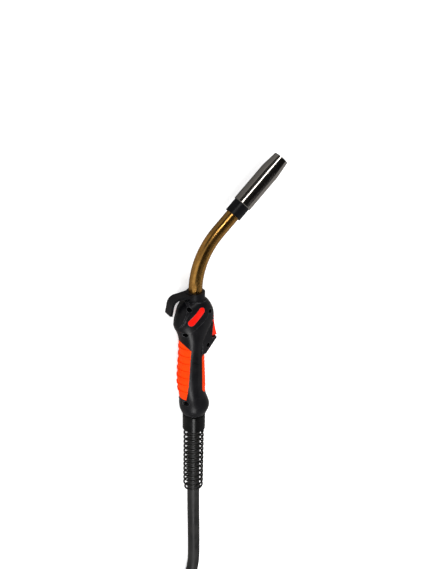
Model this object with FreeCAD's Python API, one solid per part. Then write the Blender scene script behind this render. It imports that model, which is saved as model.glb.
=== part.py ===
"""Gas-cooled MIG welding torch with its cable and central plug, lying on its side.

Lengths are millimetres.  The handle's axis runs along Y, the neck leaves at +Y
and bends towards +X, the trigger side.  Z is up: the torch lies on its left
side, so the plane in which the neck bends is level.  While the pieces are made
the handle's axis crosses Y = 0 where the straight part of the neck ends.  At
the end every piece is moved, so that the origin is the middle of the bare
torch's bounding box, on the surface that it lies on.
"""
import FreeCAD, Part
import math
import os
from FreeCAD import Vector

# Neck
NECK_R = 9.0
NECK_WALL = 1.4
NECK_BEND_R = 105.0
NECK_BEND_DEG = 45.8
NECK_STRAIGHT = 27.7
NECK_IN_HANDLE = 24.0
INSULATION_WALL = 1.2
CONDUCTOR_WALL = 3.0
LINER_WALL = 1.2
LINER_PAST_CONDUCTOR = 8.0
SEAT_GAP = 0.05

# Front end, measured along the neck's axis from the rear of the collar
COLLAR_R = 11.25
COLLAR_LENGTH = 18.0
COLLAR_SPIGOT_R = 8.6
COLLAR_SPIGOT_LENGTH = 14.0
NECK_INTO_COLLAR = 13.0
NOZZLE_R = 12.5
NOZZLE_LENGTH = 76.5
NOZZLE_TAPER_LENGTH = 22.5
NOZZLE_TIP_R = 10.15
NOZZLE_REAR_BORE_R = 10.5
NOZZLE_BORE_R = 8.0
NOZZLE_BORE_LENGTH = 12.0
NOZZLE_FUNNEL_LENGTH = 24.0
NOZZLE_EDGE = 0.6
CLIP_WIRE_R = 0.85
CLIP_TURNS = 4
CLIP_PITCH = 2.6
HOLDER_R = 5.0
DIFFUSER_R = 7.0
DIFFUSER_LENGTH = 16.0
GAS_HOLE_R = 1.1
GAS_HOLES = 6
TIP_R = 4.0
TIP_NOSE_R = 2.2
TIP_LENGTH = 30.0
TIP_NOSE_LENGTH = 6.0
TIP_RECESS = 2.0
WIRE_HOLE_R = 0.6

# Handle: station along Y, centre in X, half width in X, half width in Z
HANDLE_TOP = -11.5
HANDLE_END = -182.5
FLARE_R = 20.5
STATIONS = [
    (HANDLE_TOP, 0.0, 13.0, 13.2),
    (-14.5, -0.7, 17.6, 15.4),
    (-18.6, -1.5, 21.4, 17.0),
    (-28.7, -1.2, 25.8, 18.6),
    (-46.0, -2.9, 26.6, 19.2),
    (-60.0, -4.0, 20.2, 18.6),
    (-72.7, -4.4, 17.2, 17.5),
    (-87.7, -4.9, 16.7, 16.5),
    (-118.0, -5.3, 18.3, 17.0),
    (-140.0, -4.5, 18.4, 17.3),
    (-155.0, -2.3, 18.4, 18.2),
    (-167.5, 0.0, FLARE_R, FLARE_R),
    (-175.5, 0.0, 19.4, 19.4),
    (HANDLE_END, 0.0, 16.4, 16.4),
]
SECTION_POINTS = 16
SHELL_WALL = 3.2
CAVITY_TOP = -22.0
CAVITY_END = -157.0
CLAMP_RIB_TOP = -122.0
CLAMP_RIB_THICK = 4.0
BAND_RAISE = 0.5
BAND = [(-14, -6), (-19.5, -27), (-26, -43), (-31, -52), (-15, -52), (9, -33), (17, -18), (10, -6)]
SEAM_WIDTH = 0.9
SEAM_DEPTH = 0.7
SEAM = [(-12.0, -6.0), (-16.0, -24.0), (-24.5, -44.0)]

# Cheeks beside the trigger and the guard under it
CHEEK_TOP = (22.0, -46.0)
CHEEK_X = 20.0
GUARD_TIP_X = 29.0
GUARD_HALF = 7.6
GUARD_BASE_X = 4.0
GUARD_BASE_HALF = 15.6
GUARD_DROP = 19.0
GUARD_END_X = 11.5
GUARD_NOSE = 3.0
GUARD_EDGE = 2.5

# Trigger, its pivot, and the switch behind it
TRIGGER_HALF = 6.0
TRIGGER_SIDE_GAP = 0.35
TRIGGER_PIVOT = (20.5, -40.0)
TRIGGER_HUB_R = 4.2
TRIGGER_LENGTH = 28.0
TRIGGER_WAIST_X = 26.6
TRIGGER_TOE_X = 30.0
TRIGGER_HEEL_X = 18.8
TRIGGER_TRAVEL_DEG = 6.5
TRIGGER_END_GAP = 1.3
PIN_R = 1.5
PIN_RUNNING_GAP = 0.05
PIN_BOSS_R = 3.4
SWITCH_LENGTH = 12.8
SWITCH_DEPTH = 5.6
SWITCH_HALF = 3.2
SWITCH_FACE_X = 14.2
SWITCH_TOP_BELOW_PIVOT = 5.6
SWITCH_RIB = 2.0
SWITCH_RIB_GAP = 0.1
LEAD_GAP_HALF = 2.2
PLUNGER_R = 1.0
PLUNGER_BELOW_PIVOT = 8.0
PLUNGER_IN_BODY = 1.0
PLUNGER_TRAVEL_ROOM = 1.4
PLUNGER_TO_TRIGGER = 0.15
LEAD_R = 0.8
LEAD_SPREAD = 1.1
LEAD_X = 7.6
LEAD_FROM_REAR = 1.2

# Inside the handle
NUT_FLATS = 18.0
NUT_LENGTH = 14.0
TERMINAL_R = 7.5
TERMINAL_LENGTH = 26.0
INNER_CABLE_R = 6.5
INNER_CABLE_TO_BALL = 1.7

# Hook with its collar round the neck
HOOK_RING_R = 12.6
HOOK_TOP = -1.5
HOOK_HALF_WIDTH = 7.75
HOOK_THICK = 3.7
HOOK_REACH = 37.4
HOOK_BEND_X = 27.0
HOOK_TIP = (-39.8, -26.5)
HOOK_FLANK_END = 21.0
HOOK_ROOT_HALF = 11.0
HOOK_ROOT_DROP = 0.3

# Screws through the handle: places in X and Y
SCREWS = [(-15.0, -19.5), (-20.0, -55.0), (-17.5, -160.5), (14.2, -27.0), (13.2, -77.0)]
SCREW_R = 1.5
SCREW_HEAD_R = 2.7
SCREW_HEAD = 2.4
SCREW_SEAT_Z = 4.5
SCREW_BELOW = 9.0
SCREW_HOLE_GAP = 0.15
SCREW_POCKET_R = 3.1
BOSS_R = 3.9

# Grip pads: edge outlines in X and Y
PAD_DEPTH = 2.0
PAD_PROUD = 0.2
BACK_PAD = [(-40, -65.0), (-25.0, -66.0), (-12.6, -79.5), (-14.5, -113.0), (-17.2, -155.0), (-40, -157.5)]
BACK_RIB_FIRST = -79.5
BACK_RIB_PITCH = 10.6
BACK_RIBS = 7
BACK_RIB_HEIGHT = 1.3
BACK_RIB_THICK = 2.4
FRONT_PAD = [(40, -86.0), (8.0, -87.0), (4.0, -92.0), (4.6, -142.0), (8.0, -147.0), (40, -147.0)]
FRONT_RIB_FIRST = -92.0
FRONT_RIB_PITCH = 5.9
FRONT_RIBS = 9
FRONT_RIB_HEIGHT = 0.9
FRONT_RIB_THICK = 1.9

# Badges on both sides
BADGE_START = (-14.0, -37.0)
BADGE_STOP = (0.4, -21.8)
BADGE_HALF = 4.0
BADGE_DEPTH = 0.9
BADGE_PROUD = 0.35
BADGE_GAP = 0.1

# Ball joint and bend guard at the rear of the handle
BALL_CENTRE = -172.0
BALL_R = 15.0
BALL_GAP = 0.3
BALL_FRONT = 12.0
BALL_NECK_R = 10.0
BALL_NECK_END = -195.0
SLEEVE_R = 15.5
SLEEVE_TOP = -184.0
SLEEVE_END = -208.0
SLEEVE_ROUND = 2.0
GUARD_WIRE_R = 1.3
GUARD_SPRING_R = 12.9
GUARD_PITCH = 7.5
GUARD_TURNS = 14
GUARD_TAPER_TURNS = 1
GUARD_SEAT = 1.5
GUARD_END_GAP = 0.35

# Power cable and its coil
CABLE_R = 8.7
CORD_GAP = 0.4
STRAP_THICK = 1.3
STRAP_WIDTH = 16.0
STRAP_GAP = 0.1
STRAP_SIDE_GAP = 0.85
STRAP_ANGLES = [20, 250]
COIL_OUTER_R = 110.0
COIL_TURNS = 4
COIL_STEP = 18.2
COIL_LAYER = 18.0
COIL_CENTRE_X = 76.0
COIL_CENTRE_Y = -632.0
CABLE_ROUTE = [(0, -318, 0.0), (4, -400, -3.5), (7, -474, -8.5)]
CABLE_TO_COIL_Y = -568.0
TAIL_STRAIGHT = 100.0
TAIL_SLANT = 46.0

# Central plug, measured along its axis from the cable's guard, and its place in X and Y
PLUG_PLACE = (42.0, -778.0)
PLUG_AXIS_Z = 24.5
BOOT_LENGTH = 45.0
BOOT_THIN_R = 11.0
BOOT_WIDE_R = 15.0
BOOT_RINGS = 6
BOOT_RING_R = 0.9
HOUSING_LENGTH = 51.0
HOUSING_REAR_R = 17.5
HOUSING_R = 22.0
HOUSING_WALL = 3.0
SPIGOT_R = 18.5
SPIGOT_LENGTH = 8.5
COUPLING_R = 24.5
COUPLING_LENGTH = 24.0
COUPLING_GAP = 0.35
COUPLING_FLUTES = 24
COUPLING_FLUTE_R = 1.3
FLANGE_R = 21.0
FLANGE_THICK = 3.2
FACE_R = 18.6
FACE_LENGTH = 16.0
BODY_R = 12.0
BODY_FRONT_R = 9.0
BODY_SHOULDER = 8.0
CABLE_IN_PLUG = 58.0
POWER_PIN_R = 6.5
POWER_PIN_LENGTH = 27.0
POWER_BORE_R = 2.6
PIN_NOSE_R = 5.4
PIN_NOSE_LENGTH = 9.0
O_RING_R = 1.0
O_RING_FROM_TIP = 5.0
LINER_NUT_FLATS = 9.0
LINER_NUT_LENGTH = 5.0
CONTROL_PIN_R = 1.9
CONTROL_PIN_OUT = 12.0
CONTROL_COLLAR_R = 2.5
CONTROL_COLLAR = 1.6
CONTROL_RADIUS = 12.0
PLUG_SCREWS = [14.0, 38.0]
PLUG_SCREW_X = 15.0

FAR = 400.0
UP = Vector(0, 0, 1)
ALONG = Vector(0, 1, 0)


def block(x0, x1, y0, y1, z0, z1):
    """A box between two corners."""
    return Part.makeBox(x1 - x0, y1 - y0, z1 - z0, Vector(x0, y0, z0))


def rod(radius, start, end):
    """A cylinder between two points."""
    line = end - start
    return Part.makeCylinder(radius, line.Length, start, line)


def fused(shapes):
    """One solid made of several that meet."""
    whole = shapes[0].multiFuse(shapes[1:])
    return whole.removeSplitter()


def outline_prism(points, z0, z1):
    """A prism along Z over a closed outline in X and Y."""
    corners = [Vector(x, y, z0) for x, y in points]
    face = Part.Face(Part.makePolygon(corners + corners[:1]))
    return face.extrude(Vector(0, 0, z1 - z0))


def hexagon(flats, start, end):
    """A hexagonal bar along Y with flats facing X."""
    radius = flats / math.sqrt(3)
    corners = []
    for k in range(6):
        angle = math.radians(30 + 60 * k)
        corners.append(Vector(radius * math.cos(angle), start, radius * math.sin(angle)))
    face = Part.Face(Part.makePolygon(corners + corners[:1]))
    return face.extrude(Vector(0, end - start, 0))


def turned(profile, origin, axis):
    """A solid of revolution: profile is a list of (distance along axis, radius)."""
    axis = Vector(axis).normalize()
    side = axis.cross(UP).normalize()
    corners = [origin + axis * along + side * radius for along, radius in profile]
    face = Part.Face(Part.makePolygon(corners + corners[:1]))
    return face.revolve(origin, axis, 360)


def only_solid(shape):
    """The single solid in a shape, or the shape itself when it holds several."""
    if len(shape.Solids) == 1:
        return shape.Solids[0]
    return Part.makeCompound(shape.Solids)


# Paths and tubes
def rounded_path(points, name):
    """Straight runs joined by tangent arcs that are as large as the runs allow."""
    edges = []
    here = points[0]
    radii = []
    for before, corner, after in zip(points, points[1:], points[2:]):
        arrive = (corner - before).normalize()
        leave = (after - corner).normalize()
        turn = arrive.getAngle(leave)
        set_back = 0.45 * min((corner - before).Length, (after - corner).Length)
        radius = set_back / math.tan(turn / 2)
        radii.append(round(radius, 1))
        start = corner - arrive * set_back
        end = corner + leave * set_back
        inward = (leave - arrive).normalize()
        centre = corner + inward * (radius / math.cos(turn / 2))
        middle = centre - inward * radius
        edges.append(Part.LineSegment(here, start).toShape())
        edges.append(Part.Arc(start, middle, end).toShape())
        here = end
    edges.append(Part.LineSegment(here, points[-1]).toShape())
    print(f"{name}: bend radii {radii}")
    return Part.Wire(edges)


def arc_from(start, tangent, end):
    """An arc from start to end that leaves along the tangent."""
    chord = end - start
    lean = tangent.getAngle(chord)
    if lean < 1e-6:
        return Part.LineSegment(start, end).toShape()
    outward = (tangent - chord.normalize() * math.cos(lean)).normalize()
    rise = (end - start).Length / 2 * math.tan(lean / 2)
    return Part.Arc(start, (start + end) * 0.5 + outward * rise, end).toShape()


def biarc(start, leave, end, arrive):
    """Two tangent arcs between two points with given directions."""
    chord = end - start
    both = leave + arrive
    spread = 2 * (1 - leave.dot(arrive))
    if spread < 1e-9:
        reach = chord.Length / 4
    else:
        root = math.sqrt(chord.dot(both) ** 2 + spread * chord.dot(chord))
        reach = (root - chord.dot(both)) / spread
    joint = (start + leave * reach + end - arrive * reach) * 0.5
    first = arc_from(start, leave, joint)
    middle_way = (end - arrive * reach - (start + leave * reach)).normalize()
    return [first, arc_from(joint, middle_way, end)]


def curve_path(place, first, last, steps, lead_in, lead_out):
    """Biarcs along a formula, with a straight run at each end."""
    def way(t):
        nudge = 0.02
        return (place(t + nudge) - place(t - nudge)).normalize()

    edges = []
    stops = [first + (last - first) * k / steps for k in range(steps + 1)]
    if lead_in:
        edges.append(Part.LineSegment(place(first) - way(first) * lead_in, place(first)).toShape())
    for a, b in zip(stops, stops[1:]):
        edges.extend(biarc(place(a), way(a), place(b), way(b)))
    if lead_out:
        edges.append(Part.LineSegment(place(last), place(last) + way(last) * lead_out).toShape())
    return Part.Wire(edges)


def tube(path, radius, name):
    """A round bar swept along a path, with its volume compared with length times section."""
    first = path.OrderedEdges[0]
    start = first.valueAt(first.FirstParameter)
    way = first.tangentAt(first.FirstParameter)
    ring = Part.Wire([Part.Circle(start, way, radius).toShape()])
    solid = path.makePipeShell([ring], True, False)
    expected = math.pi * radius ** 2 * path.Length
    print(f"{name}: {path.Length:.1f} mm long, volume ratio {solid.Volume / expected:.4f}")
    return solid


def self_gap(place, first, last, steps, radius, name):
    """Print the least gap between the turns of a wound tube."""
    turns = last - first
    per_turn = int(steps / turns)
    points = [place(first + turns * k / steps) for k in range(steps + 1)]
    least = FAR
    for k, point in enumerate(points):
        for other in points[k + per_turn // 2:]:
            least = min(least, point.distanceToPoint(other))
    print(f"{name}: least gap between turns {least - 2 * radius:.2f} mm")


# Neck and front end
def neck_frame():
    """The end of the bend and the direction of the front end."""
    bend = math.radians(NECK_BEND_DEG)
    bend_end = Vector(NECK_BEND_R * (1 - math.cos(bend)), NECK_BEND_R * math.sin(bend), 0)
    way = Vector(math.sin(bend), math.cos(bend), 0)
    return bend_end, way


def neck_path(rear, past_collar_start):
    """The neck's centre line from a station in the handle to past the collar's rear."""
    bend_end, way = neck_frame()
    half = math.radians(NECK_BEND_DEG / 2)
    middle = Vector(NECK_BEND_R * (1 - math.cos(half)), NECK_BEND_R * math.sin(half), 0)
    start = Vector(0, 0, 0)
    front = bend_end + way * (NECK_STRAIGHT + past_collar_start)
    return Part.Wire([
        Part.LineSegment(Vector(0, rear, 0), start).toShape(),
        Part.Arc(start, middle, bend_end).toShape(),
        Part.LineSegment(bend_end, front).toShape(),
    ])


def neck_layer(outer, inner, rear, past, name):
    """One of the nested tubes that make the neck."""
    path = neck_path(rear, past)
    return tube(path, outer, name).cut(tube(path, inner, name + " bore"))


def neck_pieces():
    """The neck's nested tubes, from the outside in."""
    bore = NECK_R - NECK_WALL
    insulation_r = bore - SEAT_GAP
    conductor_r = insulation_r - INSULATION_WALL - SEAT_GAP
    liner_r = conductor_r - CONDUCTOR_WALL - SEAT_GAP
    rear = -NECK_IN_HANDLE
    conductor_rear = rear - NUT_LENGTH
    past = NECK_INTO_COLLAR
    conductor_past = COLLAR_LENGTH + COLLAR_SPIGOT_LENGTH
    return {
        "neck_tube": neck_layer(NECK_R, bore, rear, past, "neck tube"),
        "neck_insulation": neck_layer(insulation_r, conductor_r + SEAT_GAP, rear, past, "neck insulation"),
        "neck_conductor": neck_layer(conductor_r, liner_r + SEAT_GAP, conductor_rear,
                                     conductor_past, "neck conductor"),
        "neck_liner": neck_layer(liner_r, liner_r - LINER_WALL, conductor_rear,
                                 conductor_past + LINER_PAST_CONDUCTOR, "neck liner"),
    }, conductor_r, liner_r


def front_end(conductor_r, liner_r):
    """The pieces on the end of the neck."""
    bend_end, way = neck_frame()
    rear = bend_end + way * NECK_STRAIGHT
    step = COLLAR_LENGTH
    spigot_end = step + COLLAR_SPIGOT_LENGTH
    collar = turned([
        (0, NECK_R + SEAT_GAP), (0, COLLAR_R), (step, COLLAR_R), (step, COLLAR_SPIGOT_R),
        (spigot_end, COLLAR_SPIGOT_R), (spigot_end, conductor_r + SEAT_GAP),
        (NECK_INTO_COLLAR, conductor_r + SEAT_GAP), (NECK_INTO_COLLAR, NECK_R + SEAT_GAP),
    ], rear, way)

    nozzle_end = step + NOZZLE_LENGTH
    bore_start = nozzle_end - NOZZLE_BORE_LENGTH
    nozzle = turned([
        (step, NOZZLE_REAR_BORE_R), (step, NOZZLE_R - NOZZLE_EDGE), (step + NOZZLE_EDGE, NOZZLE_R),
        (nozzle_end - NOZZLE_TAPER_LENGTH, NOZZLE_R), (nozzle_end, NOZZLE_TIP_R),
        (nozzle_end, NOZZLE_BORE_R), (bore_start, NOZZLE_BORE_R),
        (bore_start - NOZZLE_FUNNEL_LENGTH, NOZZLE_REAR_BORE_R),
    ], rear, way)

    clip_r = NOZZLE_REAR_BORE_R - SEAT_GAP - CLIP_WIRE_R
    side = way.cross(UP)

    def clip_place(t):
        angle = 2 * math.pi * t
        along = step + CLIP_WIRE_R + 1 + CLIP_PITCH * t
        return rear + way * along + side * (clip_r * math.cos(angle)) + UP * (clip_r * math.sin(angle))

    clip_path = curve_path(clip_place, 0, CLIP_TURNS, 4 * CLIP_TURNS, 0, 0)
    self_gap(clip_place, 0, CLIP_TURNS, 36 * CLIP_TURNS, CLIP_WIRE_R, "nozzle spring")

    tip_end = nozzle_end - TIP_RECESS
    tip_rear = tip_end - TIP_LENGTH
    liner_end = spigot_end + LINER_PAST_CONDUCTOR
    holder = turned([
        (spigot_end, liner_r + SEAT_GAP), (spigot_end, HOLDER_R), (tip_rear, HOLDER_R),
        (tip_rear, WIRE_HOLE_R), (liner_end, WIRE_HOLE_R), (liner_end, liner_r + SEAT_GAP),
    ], rear, way)
    tip = turned([
        (tip_rear, WIRE_HOLE_R), (tip_rear, TIP_R), (tip_end - TIP_NOSE_LENGTH, TIP_R),
        (tip_end, TIP_NOSE_R), (tip_end, WIRE_HOLE_R),
    ], rear, way)
    diffuser = turned([
        (spigot_end, HOLDER_R + SEAT_GAP), (spigot_end, DIFFUSER_R),
        (spigot_end + DIFFUSER_LENGTH, DIFFUSER_R), (spigot_end + DIFFUSER_LENGTH, HOLDER_R + SEAT_GAP),
    ], rear, way)
    hole_centre = rear + way * (spigot_end + DIFFUSER_LENGTH / 2)
    for k in range(GAS_HOLES):
        angle = 2 * math.pi * k / GAS_HOLES
        out = side * math.cos(angle) + UP * math.sin(angle)
        hole = rod(GAS_HOLE_R, hole_centre, hole_centre + out * 2 * DIFFUSER_R)
        diffuser = diffuser.cut(hole)
    return {
        "insulator_collar": collar,
        "gas_nozzle": nozzle,
        "nozzle_spring": tube(clip_path, CLIP_WIRE_R, "nozzle spring"),
        "tip_holder": holder,
        "contact_tip": tip,
        "gas_diffuser": diffuser,
    }


# Handle
def handle_body(grow, top=HANDLE_TOP, end=HANDLE_END):
    """The handle's outer form, grown or shrunk all round, between two stations."""
    rings = []
    for y, centre, half_x, half_z in STATIONS:
        curve = Part.BSplineCurve()
        points = []
        for k in range(SECTION_POINTS):
            angle = 2 * math.pi * k / SECTION_POINTS
            x = centre + (half_x + grow) * math.cos(angle)
            points.append(Vector(x, y, (half_z + grow) * math.sin(angle)))
        curve.interpolate(points, PeriodicFlag=True)
        rings.append(Part.Wire([curve.toShape()]))
    form = Part.makeLoft(rings, True, False)
    if top == HANDLE_TOP and end == HANDLE_END:
        return form
    return form.common(block(-FAR, FAR, end, top, -FAR, FAR))


def skin(inside, outside, region):
    """The layer of the handle between two depths, over a region."""
    return handle_body(outside).common(region).cut(handle_body(inside))


def guard_body():
    """The cheeks beside the trigger and the spur that shields its lower end."""
    top = TRIGGER_PIVOT[1] - TRIGGER_LENGTH - TRIGGER_END_GAP
    bottom = top - GUARD_DROP
    profile = [(GUARD_BASE_X, CHEEK_TOP[1]), CHEEK_TOP, (CHEEK_X, top + GUARD_NOSE), (CHEEK_X, top),
               (GUARD_TIP_X - 1, top), (GUARD_TIP_X, top - GUARD_NOSE), (GUARD_END_X, bottom),
               (GUARD_BASE_X, bottom)]
    rough = outline_prism(profile, -GUARD_BASE_HALF, GUARD_BASE_HALF)
    plan = [(GUARD_BASE_X, GUARD_BASE_HALF), (GUARD_TIP_X + 1, GUARD_HALF)]
    plan = plan + [(x, -z) for x, z in reversed(plan)]
    corners = [Vector(x, bottom - 1, z) for x, z in plan]
    sides = Part.Face(Part.makePolygon(corners + corners[:1])).extrude(Vector(0, CHEEK_TOP[1] - bottom + 2, 0))
    spur = rough.common(sides)
    slope = [edge for edge in spur.Edges if edge.BoundBox.XMax > CHEEK_X and edge.BoundBox.XMin < CHEEK_X
             and edge.BoundBox.YMin < bottom + 1]
    return spur.makeFillet(GUARD_EDGE, slope)


def seam_line(region_width):
    """A thin slab that follows the seam's outline."""
    pieces = []
    for start, end in zip(SEAM, SEAM[1:]):
        a = Vector(start[0], start[1], 0)
        b = Vector(end[0], end[1], 0)
        across = (b - a).normalize().cross(UP) * (region_width / 2)
        corners = [a + across, b + across, b - across, a - across]
        pieces.append(outline_prism([(c.x, c.y) for c in corners], -FAR, FAR))
    return fused(pieces)


def lozenge(start, stop, half, z0, z1):
    """A prism along Z with round ends."""
    a = Vector(start[0], start[1], 0)
    b = Vector(stop[0], stop[1], 0)
    across = (b - a).normalize().cross(UP) * half
    corners = [a + across, b + across, b - across, a - across]
    bar = outline_prism([(c.x, c.y) for c in corners], z0, z1)
    ends = [rod(half, Vector(p.x, p.y, z0), Vector(p.x, p.y, z1)) for p in (a, b)]
    return fused([bar] + ends)


def lead_paths():
    """The two switch leads' centre lines."""
    switch_end = TRIGGER_PIVOT[1] - SWITCH_TOP_BELOW_PIVOT - SWITCH_LENGTH
    lead_start_x = SWITCH_FACE_X - SWITCH_DEPTH + LEAD_FROM_REAR
    rear = BALL_CENTRE + BALL_FRONT + INNER_CABLE_TO_BALL
    paths = []
    for z in (-LEAD_SPREAD, LEAD_SPREAD):
        points = [Vector(lead_start_x, switch_end, z), Vector(lead_start_x, switch_end - 5, z),
                  Vector(LEAD_X, switch_end - 13, z), Vector(LEAD_X, rear, z)]
        paths.append(rounded_path(points, "switch lead"))
    return paths


def trigger_outline():
    """The trigger's face: a round hub, a hollow front and a square toe."""
    px, py = TRIGGER_PIVOT
    hub = TRIGGER_HUB_R
    toe_y = py - TRIGGER_LENGTH
    front = Part.Arc(Vector(px + hub, py, 0), Vector(TRIGGER_WAIST_X, py - 13, 0), Vector(TRIGGER_TOE_X, toe_y, 0))
    edges = [
        Part.Arc(Vector(px - hub, py, 0), Vector(px, py + hub, 0), Vector(px + hub, py, 0)).toShape(),
        front.toShape(),
        Part.LineSegment(Vector(TRIGGER_TOE_X, toe_y, 0), Vector(TRIGGER_HEEL_X, toe_y, 0)).toShape(),
        Part.LineSegment(Vector(TRIGGER_HEEL_X, toe_y, 0), Vector(px - hub, py - 12, 0)).toShape(),
        Part.LineSegment(Vector(px - hub, py - 12, 0), Vector(px - hub, py, 0)).toShape(),
    ]
    return Part.Face(Part.Wire(edges))


def trigger_pieces():
    """Trigger, pin, switch and plunger."""
    px, py = TRIGGER_PIVOT
    blade = trigger_outline()
    blade.translate(Vector(0, 0, -TRIGGER_HALF))
    trigger = blade.extrude(Vector(0, 0, 2 * TRIGGER_HALF))
    front_edges = [edge for edge in trigger.Edges
                   if abs(abs(edge.CenterOfMass.z) - TRIGGER_HALF) < 0.01
                   and edge.CenterOfMass.x > px + 2 and edge.Length > 20]
    trigger = trigger.makeFillet(1.6, front_edges)
    trigger = trigger.cut(rod(PIN_R + PIN_RUNNING_GAP, Vector(px, py, -FAR), Vector(px, py, FAR)))
    pin_half = TRIGGER_HALF + TRIGGER_SIDE_GAP + 5.0
    pin = rod(PIN_R, Vector(px, py, -pin_half), Vector(px, py, pin_half))

    top = py - SWITCH_TOP_BELOW_PIVOT
    body = block(SWITCH_FACE_X - SWITCH_DEPTH, SWITCH_FACE_X, top - SWITCH_LENGTH, top, -SWITCH_HALF, SWITCH_HALF)
    plunger_y = py - PLUNGER_BELOW_PIVOT
    room_end = SWITCH_FACE_X - PLUNGER_IN_BODY - PLUNGER_TRAVEL_ROOM
    body = body.cut(rod(PLUNGER_R + PIN_RUNNING_GAP, Vector(room_end, plunger_y, 0),
                        Vector(SWITCH_FACE_X + 1, plunger_y, 0)))
    tip_x = px - TRIGGER_HUB_R - PLUNGER_TO_TRIGGER
    plunger = rod(PLUNGER_R, Vector(SWITCH_FACE_X - PLUNGER_IN_BODY, plunger_y, 0), Vector(tip_x, plunger_y, 0))
    leads = [tube(path, LEAD_R, "switch lead") for path in lead_paths()]
    return {
        "trigger": trigger,
        "trigger_pin": pin,
        "microswitch_body": body,
        "switch_plunger": plunger,
        "switch_leads": Part.makeCompound(leads),
    }


def screw_holes():
    """What the screws need cut from the handle: shank holes and head pockets."""
    cuts = []
    for x, y in SCREWS:
        cuts.append(rod(SCREW_R + SCREW_HOLE_GAP, Vector(x, y, -SCREW_BELOW - 1), Vector(x, y, SCREW_SEAT_Z)))
        cuts.append(rod(SCREW_POCKET_R, Vector(x, y, SCREW_SEAT_Z), Vector(x, y, FAR)))
    return cuts


def shell_screws():
    """The five handle screws with slotted pan heads."""
    screws = []
    for x, y in SCREWS:
        shank = rod(SCREW_R, Vector(x, y, -SCREW_BELOW), Vector(x, y, SCREW_SEAT_Z))
        head_top = SCREW_SEAT_Z + SCREW_HEAD
        head = rod(SCREW_HEAD_R, Vector(x, y, SCREW_SEAT_Z), Vector(x, y, head_top))
        slot = block(x - SCREW_HEAD_R, x + SCREW_HEAD_R, y - 0.4, y + 0.4, head_top - 1, head_top + 1)
        screws.append(fused([shank, head]).cut(slot))
    return Part.makeCompound(screws)


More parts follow.
